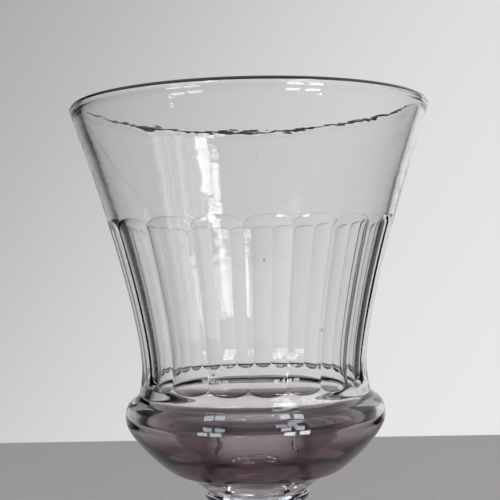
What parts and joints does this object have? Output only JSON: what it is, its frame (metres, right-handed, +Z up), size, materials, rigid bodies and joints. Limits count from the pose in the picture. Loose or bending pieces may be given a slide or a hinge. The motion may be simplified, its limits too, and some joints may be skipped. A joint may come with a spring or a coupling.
{
  "type": "footed candy jar",
  "caption": "Footed glass jar: a bell-shaped bowl with a belt of flat-cut flutes and a bulging base, on a rounded collar, a waisted stem and a round foot.",
  "frame": {"origin": "middle of the foot's underside, on the table", "axes": "+Z up along the jar's axis, -Y towards the side seen in the picture"},
  "size_m": [0.14, 0.1399, 0.205],
  "materials": {
    "bowl_glass": "polished, clear",
    "base_glass": "polished, clear with a faint mauve tint"
  },
  "bodies": {
    "root": {"bowl": "bowl_glass", "collar": "base_glass", "stem": "base_glass", "foot": "base_glass"}
  },
  "joints": []
}
